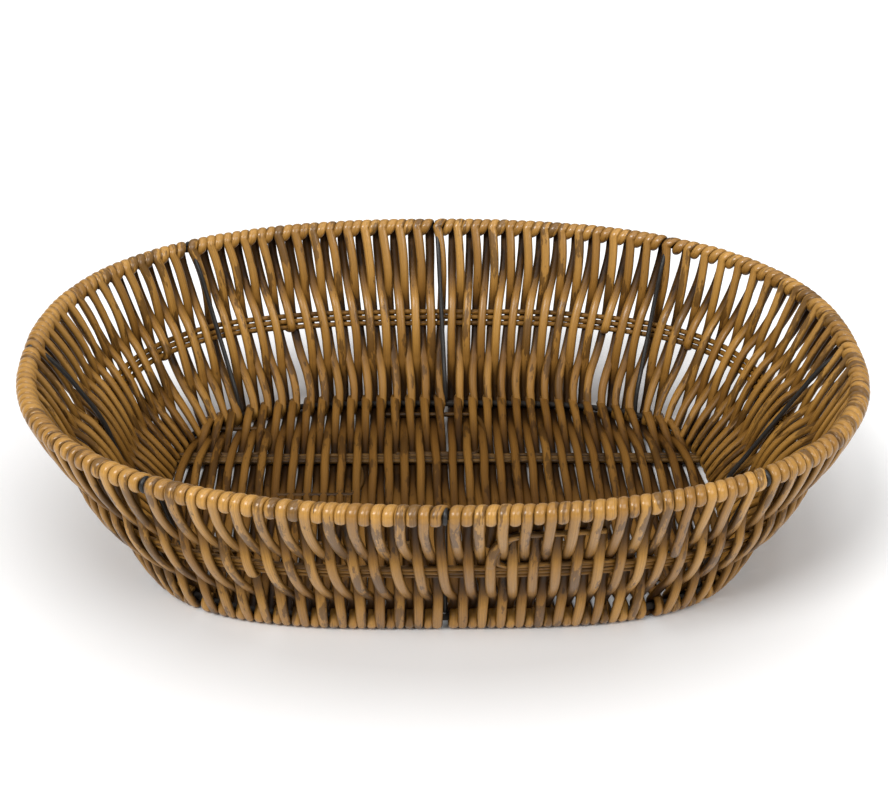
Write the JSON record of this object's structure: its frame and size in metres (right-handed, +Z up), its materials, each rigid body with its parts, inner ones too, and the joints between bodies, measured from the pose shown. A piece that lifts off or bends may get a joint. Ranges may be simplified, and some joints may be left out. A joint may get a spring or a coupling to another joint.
{
  "type": "woven wicker basket",
  "caption": "Shallow oval basket with flared sides, woven from flat wicker strands over a steel wire frame, open on top, for bread, fruit or small things.",
  "frame": {"origin": "middle of the underside, on the surface that the basket stands on", "axes": "+X along the long side, +Y across the basket, +Z up out of the opening"},
  "size_m": [0.399, 0.307, 0.0932],
  "materials": {
    "steel_wire": "black satin lacquer",
    "woven_strand": "stained and lacquered wicker, satin, lighter and darker along each strand",
    "band_strand": "stained wicker, satin, darker than the sides",
    "floor_strand": "stained and lacquered wicker, satin"
  },
  "bodies": {
    "root": {"rim_wire": "steel_wire", "foot_wire": "steel_wire", "rib_1": "steel_wire", "rib_2": "steel_wire", "rib_3": "steel_wire", "rib_4": "steel_wire", "rib_5": "steel_wire", "rib_6": "steel_wire", "rib_7": "steel_wire", "rib_8": "steel_wire", "band_strand_1": "band_strand", "band_strand_2": "band_strand", "band_strand_3": "band_strand", "bar_strand_1": "band_strand", "bar_strand_2": "band_strand", "bar_strand_3": "band_strand", "bar_strand_4": "band_strand", "bar_strand_5": "band_strand", "bar_strand_6": "band_strand", "side_weave_1": "woven_strand", "side_weave_2": "woven_strand", "side_weave_3": "woven_strand", "side_weave_4": "woven_strand", "side_weave_5": "woven_strand", "side_weave_6": "woven_strand", "side_weave_7": "woven_strand", "side_weave_8": "woven_strand", "floor_weave": "floor_strand"}
  },
  "joints": []
}
